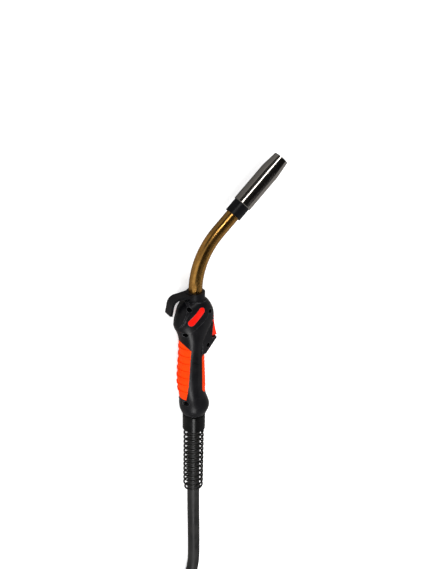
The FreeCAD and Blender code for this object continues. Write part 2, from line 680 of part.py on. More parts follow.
def handle_pieces():
    """Both handle shells, the grip pads and the badges."""
    px, py = TRIGGER_PIVOT
    cavity = handle_body(-SHELL_WALL, CAVITY_TOP, CAVITY_END)
    back_region = outline_prism(BACK_PAD, -FAR, FAR)
    front_region = outline_prism(FRONT_PAD, -FAR, FAR)

    band = skin(-1.0, BAND_RAISE, outline_prism(BAND, -FAR, FAR).common(
        block(-FAR, FAR, -FAR, HANDLE_TOP - 1, -FAR, FAR)))
    form = fused([handle_body(0), guard_body(), band])
    form = form.cut(skin(BAND_RAISE - SEAM_DEPTH, 2 * BAND_RAISE, seam_line(SEAM_WIDTH)))

    pins = [rod(PIN_BOSS_R, Vector(px, py, side * (TRIGGER_HALF + TRIGGER_SIDE_GAP)),
                Vector(px, py, side * FAR)) for side in (-1, 1)]
    bosses = [rod(BOSS_R, Vector(x, y, -FAR), Vector(x, y, FAR)) for x, y in SCREWS]
    switch_top = py - SWITCH_TOP_BELOW_PIVOT
    switch_end = switch_top - SWITCH_LENGTH
    rib_x = (SWITCH_FACE_X - SWITCH_DEPTH, SWITCH_FACE_X)
    ribs = [block(rib_x[0], rib_x[1], switch_top + SWITCH_RIB_GAP,
                  switch_top + SWITCH_RIB_GAP + SWITCH_RIB, -FAR, FAR)]
    for z0, z1 in ((-FAR, -LEAD_GAP_HALF), (LEAD_GAP_HALF, FAR)):
        ribs.append(block(rib_x[0], rib_x[1], switch_end - SWITCH_RIB_GAP - SWITCH_RIB,
                          switch_end - SWITCH_RIB_GAP, z0, z1))
    clamp = block(-FAR, FAR, CLAMP_RIB_TOP - CLAMP_RIB_THICK, CLAMP_RIB_TOP, -FAR, FAR)
    clamp = clamp.cut(rod(INNER_CABLE_R + SEAT_GAP, Vector(0, CLAMP_RIB_TOP + 1, 0),
                          Vector(0, CLAMP_RIB_TOP - CLAMP_RIB_THICK - 1, 0)))
    clamp = clamp.cut(block(INNER_CABLE_R - 1, FAR, -FAR, FAR, -LEAD_GAP_HALF, LEAD_GAP_HALF))
    inside = [piece.common(cavity) for piece in pins + bosses + ribs + [clamp]]
    hollow = cavity.cut(Part.makeCompound(inside))

    slot = block(SWITCH_FACE_X, FAR, py - TRIGGER_LENGTH - TRIGGER_END_GAP, py + TRIGGER_HUB_R + 0.4,
                 -TRIGGER_HALF - TRIGGER_SIDE_GAP, TRIGGER_HALF + TRIGGER_SIDE_GAP)
    pin_half = TRIGGER_HALF + TRIGGER_SIDE_GAP + 5.0
    switch_seat = block(rib_x[0] - SEAT_GAP, rib_x[1] + SEAT_GAP, switch_end - SEAT_GAP, switch_top + SEAT_GAP,
                        -SWITCH_HALF - SEAT_GAP, SWITCH_HALF + SEAT_GAP)
    cuts = [
        hollow,
        slot,
        switch_seat,
        rod(PIN_R, Vector(px, py, -pin_half), Vector(px, py, pin_half)),
        rod(NECK_R + SEAT_GAP, Vector(0, CAVITY_TOP - 1, 0), Vector(0, 0, 0)),
        Part.makeSphere(BALL_R + BALL_GAP, Vector(0, BALL_CENTRE, 0)),
        rod(BALL_NECK_R, Vector(0, CAVITY_END + 1, 0), Vector(0, BALL_CENTRE, 0)),
        skin(-PAD_DEPTH, 1.0, back_region),
        skin(-PAD_DEPTH, 1.0, front_region),
    ] + screw_holes()
    pieces = {}
    for side, low, high in (("left", -FAR, 0), ("right", 0, FAR)):
        z0, z1 = (low, -1) if side == "left" else (1, high)
        seat = lozenge(BADGE_START, BADGE_STOP, BADGE_HALF + BADGE_GAP, z0, z1)
        face = lozenge(BADGE_START, BADGE_STOP, BADGE_HALF, z0, z1)
        top = BAND_RAISE + BADGE_PROUD
        floor = BAND_RAISE - BADGE_DEPTH
        pieces[f"{side}_badge"] = only_solid(skin(floor, top, face))
        half = form.common(block(-FAR, FAR, -FAR, FAR, low, high))
        half = half.cut(cuts + [skin(floor, top + 1, seat)])
        pieces[f"handle_shell_{side}"] = max(half.Solids, key=lambda solid: solid.Volume)
    pieces["back_grip_pad"] = grip_pad(back_region, -1, BACK_RIB_FIRST, BACK_RIB_PITCH, BACK_RIBS,
                                       BACK_RIB_HEIGHT, BACK_RIB_THICK)
    pieces["front_grip_pad"] = grip_pad(front_region, 1, FRONT_RIB_FIRST, FRONT_RIB_PITCH, FRONT_RIBS,
                                        FRONT_RIB_HEIGHT, FRONT_RIB_THICK)
    return pieces


def grip_pad(region, side, first, pitch, count, height, thick):
    """A soft pad let into the handle, with ribs that fade out towards its edges."""
    pad = skin(-PAD_DEPTH, PAD_PROUD, region)
    shifted = handle_body(0)
    shifted.translate(Vector(side * height, 0, 0))
    ridge = shifted.cut(handle_body(-PAD_DEPTH / 2)).common(region)
    bars = []
    for k in range(count):
        y = first - pitch * k
        bars.append(ridge.common(block(-FAR, FAR, y - thick / 2, y + thick / 2, -FAR, FAR)))
    return only_solid(fused([pad] + bars))


def hook_collar():
    """The collar round the neck with the hanging hook that grows from it."""
    thick = HOOK_THICK
    root = HOOK_TOP - HOOK_ROOT_DROP
    bend_y = HOOK_TOP - 2.0
    tip_x, tip_y = HOOK_TIP
    down_x = -HOOK_REACH
    edges = [
        Part.LineSegment(Vector(0, root, 0), Vector(-HOOK_BEND_X, bend_y, 0)).toShape(),
        Part.Arc(Vector(-HOOK_BEND_X, bend_y, 0), Vector(down_x + 3.0, bend_y - 4.0, 0),
                 Vector(down_x, bend_y - 10.5, 0)).toShape(),
        Part.LineSegment(Vector(down_x, bend_y - 10.5, 0), Vector(tip_x, tip_y, 0)).toShape(),
        Part.LineSegment(Vector(tip_x, tip_y, 0), Vector(tip_x + thick, tip_y - 0.8, 0)).toShape(),
        Part.LineSegment(Vector(tip_x + thick, tip_y - 0.8, 0),
                         Vector(down_x + thick, bend_y - 11.0, 0)).toShape(),
        Part.Arc(Vector(down_x + thick, bend_y - 11.0, 0), Vector(down_x + 5.8, bend_y - 6.6, 0),
                 Vector(-HOOK_BEND_X, bend_y - thick, 0)).toShape(),
        Part.LineSegment(Vector(-HOOK_BEND_X, bend_y - thick, 0), Vector(0, root - thick, 0)).toShape(),
        Part.LineSegment(Vector(0, root - thick, 0), Vector(0, root, 0)).toShape(),
    ]
    ribbon = Part.Face(Part.Wire(edges))
    ribbon.translate(Vector(0, 0, -HOOK_RING_R))
    ribbon = ribbon.extrude(Vector(0, 0, 2 * HOOK_RING_R))
    plan = [(0, HOOK_ROOT_HALF), (-HOOK_FLANK_END, HOOK_HALF_WIDTH), (-FAR, HOOK_HALF_WIDTH)]
    plan = plan + [(x, -z) for x, z in reversed(plan)]
    corners = [Vector(x, -FAR, z) for x, z in plan]
    ribbon = ribbon.common(Part.Face(Part.makePolygon(corners + corners[:1])).extrude(Vector(0, 2 * FAR, 0)))
    ring = rod(HOOK_RING_R, Vector(0, HANDLE_TOP, 0), Vector(0, HOOK_TOP, 0))
    collar = fused([ring, ribbon])
    return collar.cut(rod(NECK_R + SEAT_GAP, Vector(0, -FAR, 0), Vector(0, FAR, 0)))


def inner_parts(conductor_r):
    """What joins the neck to the cable inside the handle."""
    rear = -NECK_IN_HANDLE
    nut_end = rear - NUT_LENGTH
    terminal_end = nut_end - TERMINAL_LENGTH
    nut = hexagon(NUT_FLATS, rear, nut_end)
    nut = nut.cut(rod(conductor_r + SEAT_GAP, Vector(0, rear + 1, 0), Vector(0, nut_end - 1, 0)))
    cable_end = BALL_CENTRE + BALL_FRONT + INNER_CABLE_TO_BALL
    return {
        "neck_nut": nut,
        "cable_terminal": rod(TERMINAL_R, Vector(0, nut_end, 0), Vector(0, terminal_end, 0)),
        "inner_cable": rod(INNER_CABLE_R, Vector(0, terminal_end, 0), Vector(0, cable_end, 0)),
    }


# Rear of the handle, cable and coil
def rear_joint():
    """The ball that the cable turns on, its sleeve and the bend guard spring."""
    front = BALL_CENTRE + BALL_FRONT
    ball = Part.makeSphere(BALL_R, Vector(0, BALL_CENTRE, 0))
    ball = ball.common(block(-FAR, FAR, -FAR, front, -FAR, FAR))
    ball = fused([ball, rod(BALL_NECK_R, Vector(0, BALL_CENTRE, 0), Vector(0, BALL_NECK_END, 0))])
    ball = ball.cut(rod(CABLE_R + SEAT_GAP, Vector(0, -FAR, 0), Vector(0, FAR, 0)))

    pocket_r = GUARD_SPRING_R + GUARD_WIRE_R + SEAT_GAP
    sleeve = turned([
        (0, SLEEVE_R - SLEEVE_ROUND), (SLEEVE_ROUND * 0.3, SLEEVE_R - SLEEVE_ROUND * 0.3),
        (SLEEVE_ROUND, SLEEVE_R), (SLEEVE_TOP - SLEEVE_END, SLEEVE_R), (SLEEVE_TOP - SLEEVE_END, pocket_r),
        (SLEEVE_TOP - BALL_NECK_END, pocket_r), (SLEEVE_TOP - BALL_NECK_END, BALL_NECK_R + SEAT_GAP),
        (0, BALL_NECK_R + SEAT_GAP),
    ], Vector(0, SLEEVE_TOP, 0), Vector(0, -1, 0))

    start = BALL_NECK_END - GUARD_WIRE_R - GUARD_SEAT
    end_r = CABLE_R + GUARD_WIRE_R + GUARD_END_GAP
    last = GUARD_TURNS + GUARD_TAPER_TURNS

    def spring_place(t):
        angle = 2 * math.pi * t
        taper = min(max(t - GUARD_TURNS, 0) / GUARD_TAPER_TURNS, 1)
        radius = GUARD_SPRING_R + (end_r - GUARD_SPRING_R) * taper
        return Vector(radius * math.cos(angle), start - GUARD_PITCH * t, radius * math.sin(angle))

    path = curve_path(spring_place, 0, last, 4 * last, 0, 2 * GUARD_WIRE_R)
    self_gap(spring_place, 0, last, 36 * last, GUARD_WIRE_R, "bend guard spring")
    return {
        "cable_ball": ball,
        "guard_sleeve": sleeve,
        "bend_guard_spring": tube(path, GUARD_WIRE_R, "bend guard spring"),
    }


def coil_place(t):
    """The coil's centre line: in for half the turns, then out again one layer up."""
    half = COIL_TURNS / 2
    inward = half - abs(t - half)
    radius = COIL_OUTER_R - COIL_STEP * inward
    climb = min(max((t - half) * 2 + 0.5, 0), 1)
    level = COIL_LAYER * climb * climb * (3 - 2 * climb)
    angle = math.pi + 2 * math.pi * t
    bottom = CABLE_R + STRAP_THICK + STRAP_GAP - FLARE_R
    return Vector(COIL_CENTRE_X + radius * math.cos(angle), COIL_CENTRE_Y + radius * math.sin(angle), bottom + level)


def cable_pieces():
    """The cable from the ball to the plug, its coil and the straps that hold it."""
    low = CABLE_R + STRAP_THICK + STRAP_GAP - FLARE_R
    lead = 2 * CABLE_R
    side = COIL_CENTRE_X - COIL_OUTER_R
    front = Vector(0, BALL_CENTRE + BALL_FRONT, 0)
    route = [front] + [Vector(*point) for point in CABLE_ROUTE]
    route += [Vector(side, CABLE_TO_COIL_Y, low), Vector(side, COIL_CENTRE_Y + lead + CORD_GAP, low)]
    free = tube(rounded_path(route, "power cable"), CABLE_R, "power cable")

    loops = curve_path(coil_place, 0, COIL_TURNS, 4 * COIL_TURNS, lead, lead)
    self_gap(coil_place, 0, COIL_TURNS, 72 * COIL_TURNS, CABLE_R, "cable coil")
    coil = tube(loops, CABLE_R, "cable coil")

    high = low + COIL_LAYER
    plug_x, plug_y = PLUG_PLACE
    plug_z = PLUG_AXIS_Z - FLARE_R
    tail_route = [Vector(side, COIL_CENTRE_Y - lead - CORD_GAP, high), Vector(side, COIL_CENTRE_Y - TAIL_STRAIGHT, high),
                  Vector(side + TAIL_SLANT, plug_y, plug_z), Vector(plug_x + CABLE_IN_PLUG, plug_y, plug_z)]
    tail = tube(rounded_path(tail_route, "cable tail"), CABLE_R, "cable tail")
    return {
        "power_cable": free,
        "cable_coil": coil,
        "cable_tail": tail,
        "cable_straps": coil_straps(low),
    }


def coil_straps(low):
    """Flat straps round the coil's bundle, each one closed band."""
    straps = []
    bottom = low - CABLE_R - STRAP_GAP
    top = low + COIL_LAYER + CABLE_R + STRAP_GAP
    corner = CABLE_R + STRAP_GAP + STRAP_THICK
    for degrees in STRAP_ANGLES:
        share = (degrees - 180) % 360 / 360
        radii = []
        for t in range(COIL_TURNS):
            spot = coil_place(t + share)
            radii.append(math.hypot(spot.x - COIL_CENTRE_X, spot.y - COIL_CENTRE_Y))
        inner = min(radii) - CABLE_R - STRAP_SIDE_GAP
        outer = max(radii) + CABLE_R + STRAP_SIDE_GAP
        band = block(inner - STRAP_THICK, outer + STRAP_THICK, -STRAP_WIDTH / 2, STRAP_WIDTH / 2,
                     bottom - STRAP_THICK, top + STRAP_THICK)
        band = band.makeFillet(corner, [e for e in band.Edges if abs(e.tangentAt(0).y) > 0.9])
        hole = block(inner, outer, -STRAP_WIDTH, STRAP_WIDTH, bottom, top)
        hole = hole.makeFillet(corner - STRAP_THICK, [e for e in hole.Edges if abs(e.tangentAt(0).y) > 0.9])
        strap = band.cut(hole)
        strap.rotate(Vector(0, 0, 0), UP, degrees)
        strap.translate(Vector(COIL_CENTRE_X, COIL_CENTRE_Y, 0))
        straps.append(strap)
    return Part.makeCompound(straps)


# Plug
def plug_point(along, x=0.0, z=0.0):
    """A point on the plug before it is turned to its place, by its distance along the plug's axis."""
    return Vector(x, -along, PLUG_AXIS_Z - FLARE_R + z)


def plug_turned(profile):
    """A piece turned round the plug's axis."""
    return turned(profile, plug_point(0), Vector(0, -1, 0))


def plug_pieces():
    """The central plug on the cable's far end."""
    housing_start = BOOT_LENGTH
    housing_end = housing_start + HOUSING_LENGTH
    spigot_end = housing_end + SPIGOT_LENGTH
    flange_end = spigot_end + FLANGE_THICK
    face_end = spigot_end + FACE_LENGTH
    pin_end = face_end + POWER_PIN_LENGTH
    inner_r = HOUSING_REAR_R - HOUSING_WALL
    spigot_bore = SPIGOT_R - HOUSING_WALL

    boot = plug_turned([(0, CABLE_R + SEAT_GAP), (0, BOOT_THIN_R), (BOOT_LENGTH, BOOT_WIDE_R),
                        (BOOT_LENGTH, CABLE_R + SEAT_GAP)])
    for k in range(BOOT_RINGS):
        along = BOOT_LENGTH * (k + 0.7) / (BOOT_RINGS + 0.6)
        radius = BOOT_THIN_R + (BOOT_WIDE_R - BOOT_THIN_R) * along / BOOT_LENGTH
        ring = Part.makeTorus(radius + BOOT_RING_R * 0.3, BOOT_RING_R, plug_point(along), ALONG)
        boot = boot.cut(ring)

    housing = plug_turned([
        (housing_start, CABLE_R + SEAT_GAP), (housing_start, HOUSING_REAR_R), (housing_start + 12, HOUSING_R),
        (housing_end - 2, HOUSING_R), (housing_end, HOUSING_R - 1), (housing_end, SPIGOT_R),
        (spigot_end, SPIGOT_R), (spigot_end, spigot_bore), (housing_start + HOUSING_WALL + 2, inner_r),
        (housing_start + HOUSING_WALL, CABLE_R + SEAT_GAP),
    ])
    screws = []
    for along in PLUG_SCREWS:
        for side in (-1, 1):
            x = side * PLUG_SCREW_X
            seat = plug_point(housing_start + along, x, 4.0)
            low = plug_point(housing_start + along, x, -9.0)
            head_top = seat + UP * SCREW_HEAD
            screws.append(fused([rod(SCREW_R, low, seat), rod(SCREW_HEAD_R, seat, head_top)]))
            boss = rod(BOSS_R, low - UP * FAR, low + UP * FAR).common(
                rod(HOUSING_R - 1.5, plug_point(housing_start + HOUSING_WALL), plug_point(housing_end)))
            boss = boss.cut(rod(BODY_R + SEAT_GAP, plug_point(0), plug_point(spigot_end)))
            housing = housing.fuse(boss)
            housing = housing.cut([rod(SCREW_R + SCREW_HOLE_GAP, low - UP, seat),
                                   rod(SCREW_POCKET_R, seat, seat + UP * FAR)])
    middle = PLUG_AXIS_Z - FLARE_R
    top_half = housing.common(block(-FAR, FAR, -3 * FAR, FAR, middle, FAR))
    bottom_half = housing.common(block(-FAR, FAR, -3 * FAR, FAR, -FAR, middle))

    nut_start = housing_end + COUPLING_GAP
    nut_end = nut_start + COUPLING_LENGTH
    lip_end = spigot_end - COUPLING_GAP
    nut = plug_turned([
        (nut_start, SPIGOT_R + COUPLING_GAP), (nut_start, COUPLING_R - 1), (nut_start + 1, COUPLING_R),
        (nut_end - 1, COUPLING_R), (nut_end, COUPLING_R - 1), (nut_end, FLANGE_R + COUPLING_GAP),
        (lip_end, FLANGE_R + COUPLING_GAP), (lip_end, SPIGOT_R + COUPLING_GAP),
    ])
    for k in range(COUPLING_FLUTES):
        angle = 2 * math.pi * k / COUPLING_FLUTES
        reach = COUPLING_R + COUPLING_FLUTE_R * 0.4
        x = reach * math.sin(angle)
        z = -reach * math.cos(angle)
        if k == 0:
            continue
        nut = nut.cut(rod(COUPLING_FLUTE_R, plug_point(nut_start - 1, x, z), plug_point(nut_end + 1, x, z)))

    shoulder = housing_end - BODY_SHOULDER
    body = plug_turned([
        (CABLE_IN_PLUG, POWER_BORE_R), (CABLE_IN_PLUG, BODY_R), (shoulder, BODY_R), (shoulder, BODY_FRONT_R),
        (face_end, BODY_FRONT_R), (face_end, POWER_PIN_R), (pin_end - PIN_NOSE_LENGTH, POWER_PIN_R),
        (pin_end - PIN_NOSE_LENGTH, PIN_NOSE_R), (pin_end, PIN_NOSE_R), (pin_end, POWER_BORE_R),
    ])
    groove = Part.makeTorus(PIN_NOSE_R, O_RING_R + SEAT_GAP, plug_point(pin_end - O_RING_FROM_TIP), ALONG)
    body = body.cut(groove)
    ring = Part.makeTorus(PIN_NOSE_R, O_RING_R, plug_point(pin_end - O_RING_FROM_TIP), ALONG)

    face = plug_turned([
        (spigot_end, BODY_FRONT_R + SEAT_GAP), (spigot_end, FLANGE_R), (flange_end, FLANGE_R),
        (flange_end, FACE_R), (face_end, FACE_R), (face_end, BODY_FRONT_R + SEAT_GAP),
    ])
    pieces = {}
    for name, side in (("control_pin_a", -1), ("control_pin_b", 1)):
        x = side * CONTROL_RADIUS
        face = face.cut(rod(CONTROL_PIN_R + PIN_RUNNING_GAP, plug_point(spigot_end - 1, x), plug_point(face_end + 1, x)))
        shaft = rod(CONTROL_PIN_R, plug_point(spigot_end - CONTROL_COLLAR, x), plug_point(face_end + CONTROL_PIN_OUT, x))
        collar = rod(CONTROL_COLLAR_R, plug_point(spigot_end - CONTROL_COLLAR - 0.1, x), plug_point(spigot_end - 0.1, x))
        pieces[name] = fused([shaft, collar])
    liner_nut = hexagon(LINER_NUT_FLATS, 0, -LINER_NUT_LENGTH)
    liner_nut.translate(plug_point(pin_end))
    liner_nut = liner_nut.cut(rod(WIRE_HOLE_R + 1, plug_point(0), plug_point(pin_end + FAR)))
    pieces.update({
        "connector_boot": boot,
        "connector_shell_top": only_solid(top_half),
        "connector_shell_bottom": only_solid(bottom_half),
        "coupling_nut": nut,
        "plug_body": body,
        "plug_face": face,
        "gas_o_ring": ring,
        "liner_nut": liner_nut,
        "connector_screws": Part.makeCompound(screws),
    })
    for piece in pieces.values():
        piece.rotate(Vector(0, 0, 0), UP, 90)
        piece.translate(Vector(*PLUG_PLACE, 0))
    return pieces


CORD_PIECES = ["power_cable", "cable_coil", "cable_tail", "cable_straps", "connector_boot",
               "connector_shell_top", "connector_shell_bottom", "coupling_nut", "plug_body",
               "plug_face", "gas_o_ring", "liner_nut", "connector_screws", "control_pin_a",
               "control_pin_b"]


def main():
    """Make every piece, move it to the torch's own origin and write it."""
    os.makedirs("parts", exist_ok=True)
    pieces, conductor_r, liner_r = neck_pieces()
    pieces.update(front_end(conductor_r, liner_r))
    pieces.update(handle_pieces())
    pieces.update(trigger_pieces())
    pieces.update(inner_parts(conductor_r))
    pieces["hook_collar"] = hook_collar()
    pieces["shell_screws"] = shell_screws()
    pieces.update(rear_joint())
    pieces.update(cable_pieces())
    pieces.update(plug_pieces())

    torch = Part.makeCompound([shape for name, shape in pieces.items() if name not in CORD_PIECES])
    room = torch.optimalBoundingBox(False)
    shift = Vector(-(room.XMin + room.XMax) / 2, -(room.YMin + room.YMax) / 2, FLARE_R)
    print(f"origin shift {shift.x:.3f} {shift.y:.3f} {shift.z:.3f}")
    for name, shape in sorted(pieces.items()):
        placed = shape.translated(shift)
        if not placed.isValid():
            print(f"{name}: not valid")
        box = placed.BoundBox
        print(f"{name}: {len(placed.Solids)} solids, {placed.Volume / 1000:.2f} cm3, "
              f"x {box.XMin:.1f}..{box.XMax:.1f} y {box.YMin:.1f}..{box.YMax:.1f} z {box.ZMin:.1f}..{box.ZMax:.1f}")
        placed.exportStep(f"parts/{name}.step")


main()
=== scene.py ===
"""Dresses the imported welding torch: its finishes, its cable with the coil's straps, and the studio."""

import logging
import math
from dataclasses import dataclass
from enum import Enum

import bmesh
import bpy
from mathutils import Matrix, Vector


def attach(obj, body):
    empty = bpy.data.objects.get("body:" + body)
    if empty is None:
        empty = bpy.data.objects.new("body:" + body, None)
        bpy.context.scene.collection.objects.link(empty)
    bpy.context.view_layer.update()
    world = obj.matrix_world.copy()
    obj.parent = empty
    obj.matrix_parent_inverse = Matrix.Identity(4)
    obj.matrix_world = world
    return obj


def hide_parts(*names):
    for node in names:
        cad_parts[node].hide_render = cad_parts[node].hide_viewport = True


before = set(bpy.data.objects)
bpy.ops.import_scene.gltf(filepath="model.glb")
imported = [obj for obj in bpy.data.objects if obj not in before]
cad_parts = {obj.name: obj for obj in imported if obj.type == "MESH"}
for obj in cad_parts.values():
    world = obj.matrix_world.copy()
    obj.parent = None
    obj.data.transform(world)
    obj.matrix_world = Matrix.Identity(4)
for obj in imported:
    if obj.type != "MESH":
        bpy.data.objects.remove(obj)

LOG = logging.getLogger("torch")
MM = 0.001

Colour = tuple[float, float, float, float]
Point = tuple[float, float, float]

NOISE_ROUGHNESS = 0.6
PATCH_SPAN = (0.34, 0.66)
# Edge mask values: the mask carries wear and also painted shade and highlight along edges and creases.
WEAR_AND_PAINTED_SHADING_SCALE = 220.0
WEAR_AND_PAINTED_SHADING_ANGLES = (0.99, 0.86)
WEAR_AND_PAINTED_SHADING_BREAKS = (0.4, 0.6)
WEAR_AND_PAINTED_SHADING_LEAST = 0.1
SCRATCH_SCALE = 120.0
SCRATCH_SPAN = (0.58, 0.7)
SCRATCH_STRETCH = (1.0, 14.0, 14.0)
SCRATCH_ROUGHNESS = 0.12
DUST_SCALE = 35.0
DUST_FACING = (-0.2, 1.0)
DUST_CLOUD = (0.38, 0.72)
DUST_LEAST = 0.15
DUST_ROUGHNESS = 0.5
PEBBLE_SHARE = 0.45
RIDGE_SHARE = 0.3
RIDGE_NOISE = 0.7
PARTING_CORE = 0.1 * MM
PARTING_EDGE = 0.22 * MM
COAT_ROUGHNESS = 0.12
NOZZLE_AXIS = (0.716911, 0.697165, 0.0)
HANDLE_AXIS = (0.0, 1.0, 0.0)


def tone(red: float, green: float, blue: float) -> Colour:
    """An opaque colour from its three shares."""
    return (red, green, blue, 1.0)


DUST_TONE = tone(0.42, 0.40, 0.37)
PARTING_TONE = tone(0.001, 0.001, 0.001)


class Relief(Enum):
    """The fine relief that a finish has."""

    MOULDED = "moulded grain"
    TURNED = "turned lines"
    CAST = "cast skin"
    WOVEN = "weave"


class Graph:
    """Adds nodes to one node tree and joins them."""

    def __init__(self, tree: bpy.types.NodeTree) -> None:
        """Keeps the tree that is filled."""
        self.tree = tree

    def add(self, kind: str, inputs: dict | None = None, **settings: object) -> bpy.types.Node:
        """Adds one node.

        Args:
            kind: The node's type.
            inputs: Values or sockets for its inputs, by name or number.
            settings: The node's own settings.

        Returns:
            The new node.
        """
        node = self.tree.nodes.new(kind)
        for name, value in settings.items():
            setattr(node, name, value)
        for key, value in (inputs or {}).items():
            if isinstance(value, bpy.types.NodeSocket):
                self.tree.links.new(value, node.inputs[key])
            else:
                node.inputs[key].default_value = value
        return node

    def math(self, operation: str, first: object, second: object = 0.0) -> bpy.types.NodeSocket:
        """The result of one Math node."""
        return self.add("ShaderNodeMath", {0: first, 1: second}, operation=operation).outputs[0]

    def spread(self, value: object, low: object, high: object, start: object,
               end: object) -> bpy.types.NodeSocket:
        """A value that lies between low and high, carried over to start and end."""
        inputs = {"Value": value, "From Min": low, "From Max": high, "To Min": start, "To Max": end}
        return self.add("ShaderNodeMapRange", inputs).outputs["Result"]

    def mix(self, share: object, first: object, second: object) -> bpy.types.NodeSocket:
        """A colour between two colours."""
        return self.add("ShaderNodeMix", {0: share, 6: first, 7: second}, data_type="RGBA").outputs[2]

    def noise(self, place: object, scale: object, detail: float = 4.0) -> bpy.types.NodeSocket:
        """The factor of one Noise Texture."""
        inputs = {"Vector": place, "Scale": scale, "Detail": detail, "Roughness": NOISE_ROUGHNESS}
        return self.add("ShaderNodeTexNoise", inputs).outputs[0]

    def place(self, kind: str = "Object") -> bpy.types.NodeSocket:
        """The piece's own coordinates."""
        return self.add("ShaderNodeTexCoord").outputs[kind]


class Effects:
    """The shader effects that several finishes share, each a node group that is made once."""

    def __init__(self) -> None:
        """Makes every group."""
        self.groups = {
            "patches": self.patches(),
            "edge_wear_and_painted_shading": self.edge_wear_and_painted_shading(),
            "scratches": self.scratches(),
            "dust": self.dust(),
            Relief.MOULDED: self.moulded_grain(),
            Relief.TURNED: self.turned_lines(),
            Relief.CAST: self.cast_skin(),
            Relief.WOVEN: self.weave(),
        }

    def start(self, name: str, inputs: dict, output: str) -> tuple[Graph, bpy.types.Node, bpy.types.Node]:
        """Starts one group.

        Args:
            name: The group's name.
            inputs: Its inputs and their usual values.
            output: The name of its output.

        Returns:
            The graph to fill, the group's input node and its output node.
        """
        tree = bpy.data.node_groups.new(name, "ShaderNodeTree")
        for label, value in inputs.items():
            kind = "NodeSocketFloat" if isinstance(value, float) else "NodeSocketVector"
            tree.interface.new_socket(label, in_out="INPUT", socket_type=kind).default_value = value
        tree.interface.new_socket(output, in_out="OUTPUT", socket_type="NodeSocketFloat")
        graph = Graph(tree)
        return graph, graph.add("NodeGroupInput"), graph.add("NodeGroupOutput")

    def close(self, graph: Graph, result: bpy.types.NodeSocket, out: bpy.types.Node) -> bpy.types.NodeTree:
        """Joins the result to the group's output and returns the group."""
        graph.tree.links.new(result, out.inputs[0])
        return graph.tree

    def patches(self) -> bpy.types.NodeTree:
        """Soft uneven patches, as on handled plastic or lacquer."""
        graph, given, out = self.start("patches", {"Scale": 60.0}, "Mask")
        rough = graph.noise(graph.place(), given.outputs["Scale"], 6.0)
        return self.close(graph, graph.spread(rough, *PATCH_SPAN, 0.0, 1.0), out)

    def edge_wear_and_painted_shading(self) -> bpy.types.NodeTree:
        """A broken line along outer edges and inner creases: real wear on most finishes, painted shade in the
        grip's rib creases, and partly a painted highlight on the shell's edges.
        """
        graph, given, out = self.start("edge_wear_and_painted_shading", {"Width": 0.6 * MM, "Scale": WEAR_AND_PAINTED_SHADING_SCALE}, "Mask")
        rounded = graph.add("ShaderNodeBevel", {"Radius": given.outputs["Width"]}, samples=4)
        normal = graph.add("ShaderNodeNewGeometry").outputs["Normal"]
        alike = graph.add("ShaderNodeVectorMath", {0: rounded.outputs[0], 1: normal}, operation="DOT_PRODUCT")
        edge = graph.spread(alike.outputs["Value"], *WEAR_AND_PAINTED_SHADING_ANGLES, 0.0, 1.0)
        uneven = graph.noise(graph.place(), given.outputs["Scale"], 5.0)
        broken = graph.spread(uneven, *WEAR_AND_PAINTED_SHADING_BREAKS, WEAR_AND_PAINTED_SHADING_LEAST, 1.0)
        return self.close(graph, graph.math("MULTIPLY", edge, broken), out)

    def scratches(self) -> bpy.types.NodeTree:
        """Fine rubbed lines along one direction."""
        inputs = {"Scale": SCRATCH_SCALE, "Stretch": SCRATCH_STRETCH}
        graph, given, out = self.start("scratches", inputs, "Mask")
        inputs = {"Vector": graph.place(), "Scale": given.outputs["Stretch"]}
        drawn = graph.add("ShaderNodeMapping", inputs).outputs[0]
        lines = graph.noise(drawn, given.outputs["Scale"], 3.0)
        return self.close(graph, graph.spread(lines, *SCRATCH_SPAN, 0.0, 1.0), out)

    def dust(self) -> bpy.types.NodeTree:
        """A thin film of dust on what faces up."""
        graph, given, out = self.start("dust", {"Amount": 0.1, "Scale": DUST_SCALE}, "Mask")
        normal = graph.add("ShaderNodeNewGeometry").outputs["Normal"]
        up = graph.add("ShaderNodeSeparateXYZ", {0: normal}).outputs["Z"]
        facing = graph.spread(up, *DUST_FACING, DUST_LEAST, 1.0)
        uneven = graph.noise(graph.place(), given.outputs["Scale"], 8.0)
        cloud = graph.spread(uneven, *DUST_CLOUD, 0.0, 1.0)
        film = graph.math("MULTIPLY", facing, cloud)
        return self.close(graph, graph.math("MULTIPLY", film, given.outputs["Amount"]), out)

    def moulded_grain(self) -> bpy.types.NodeTree:
        """The fine pebbled grain of a moulded part."""
        graph, given, out = self.start("moulded_grain", {"Scale": 900.0}, "Height")
        place = graph.place()
        inputs = {"Vector": place, "Scale": given.outputs["Scale"], "Randomness": 1.0}
        pebbles = graph.add("ShaderNodeTexVoronoi", inputs, feature="SMOOTH_F1").outputs["Distance"]
        soft = graph.noise(place, graph.math("MULTIPLY", given.outputs["Scale"], PEBBLE_SHARE), 3.0)
        return self.close(graph, graph.math("ADD", pebbles, soft), out)

    def turned_lines(self) -> bpy.types.NodeTree:
        """Even tool lines round a turned part, along its axis."""
        graph, given, out = self.start("turned_lines", {"Scale": 1200.0, "Axis": HANDLE_AXIS}, "Height")
        place = graph.place()
        inputs = {0: place, 1: given.outputs["Axis"]}
        along = graph.add("ShaderNodeVectorMath", inputs, operation="DOT_PRODUCT").outputs["Value"]
        step = graph.math("MULTIPLY", along, given.outputs["Scale"])
        ridge = graph.math("SINE", graph.math("MULTIPLY", step, math.tau))
        uneven = graph.noise(graph.add("ShaderNodeCombineXYZ", {0: step}).outputs[0], RIDGE_NOISE, 2.0)
        even = graph.math("MULTIPLY", ridge, RIDGE_SHARE)
        return self.close(graph, graph.math("ADD", even, uneven), out)

    def cast_skin(self) -> bpy.types.NodeTree:
        """A slightly lumpy skin, as of enamel, rubber or drawn wire."""
        graph, given, out = self.start("cast_skin", {"Scale": 300.0}, "Height")
        return self.close(graph, graph.noise(graph.place(), given.outputs["Scale"], 5.0), out)

